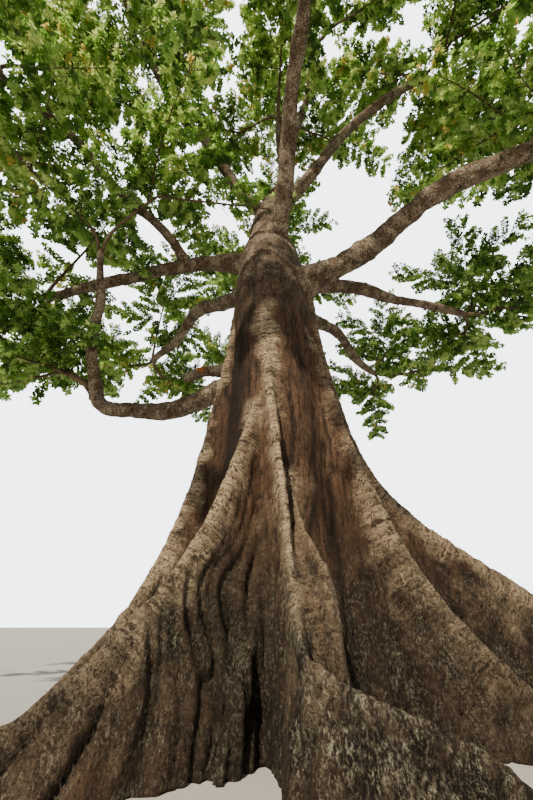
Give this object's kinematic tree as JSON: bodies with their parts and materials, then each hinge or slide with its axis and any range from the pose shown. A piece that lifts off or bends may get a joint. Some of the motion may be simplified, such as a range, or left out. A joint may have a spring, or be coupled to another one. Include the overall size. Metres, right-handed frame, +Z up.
{
  "type": "buttressed tropical tree",
  "caption": "Giant rainforest tree with tall plank buttresses, a snaking surface root, long crooked spreading boughs and a wide leafy crown, cut flat at ground level.",
  "frame": {"origin": "on the flat cut under the trunk, at ground level, in the middle of the trunk's core", "axes": "+Z straight up the tree; -Y toward the side the picture was taken from; +X to its right"},
  "size_m": [30.9344, 28.313, 28.66],
  "materials": {
    "bark": "matt",
    "leaves": "satin"
  },
  "bodies": {
    "root": {"bough_back": "bark", "bough_back_left": "bark", "bough_back_right": "bark", "bough_front": "bark", "bough_front_left": "bark", "bough_high_back": "bark", "bough_high_front": "bark", "bough_high_left": "bark", "bough_high_right": "bark", "bough_left_lower": "bark", "bough_left_rising": "bark", "bough_left_upper": "bark", "bough_right_lower": "bark", "bough_right_upper": "bark", "bough_top": "bark", "broken_stub": "bark", "leader": "bark", "leaves_back_1": "leaves", "leaves_back_2": "leaves", "leaves_back_3": "leaves", "leaves_back_left_1": "leaves", "leaves_back_left_2": "leaves", "leaves_back_left_3": "leaves", "leaves_back_right_1": "leaves", "leaves_back_right_2": "leaves", "leaves_back_right_3": "leaves", "leaves_front_1": "leaves", "leaves_front_2": "leaves", "leaves_front_3": "leaves", "leaves_front_left_1": "leaves", "leaves_front_left_2": "leaves", "leaves_front_left_3": "leaves", "leaves_high_back_1": "leaves", "leaves_high_back_2": "leaves", "leaves_high_back_3": "leaves", "leaves_high_front_1": "leaves", "leaves_high_front_2": "leaves", "leaves_high_left_1": "leaves", "leaves_high_left_2": "leaves", "leaves_high_left_3": "leaves", "leaves_high_right_1": "leaves", "leaves_high_right_2": "leaves", "leaves_high_right_3": "leaves", "leaves_left_lower_1": "leaves", "leaves_left_rising_1": "leaves", "leaves_left_rising_2": "leaves", "leaves_left_upper_1": "leaves", "leaves_left_upper_2": "leaves", "leaves_left_upper_3": "leaves", "leaves_right_lower_1": "leaves", "leaves_right_lower_2": "leaves", "leaves_right_lower_3": "leaves", "leaves_right_upper_1": "leaves", "leaves_right_upper_2": "leaves", "leaves_right_upper_3": "leaves", "leaves_top_1": "leaves", "leaves_top_2": "leaves", "leaves_top_3": "leaves", "leaves_top_4": "leaves", "trunk": "bark"}
  },
  "joints": []
}
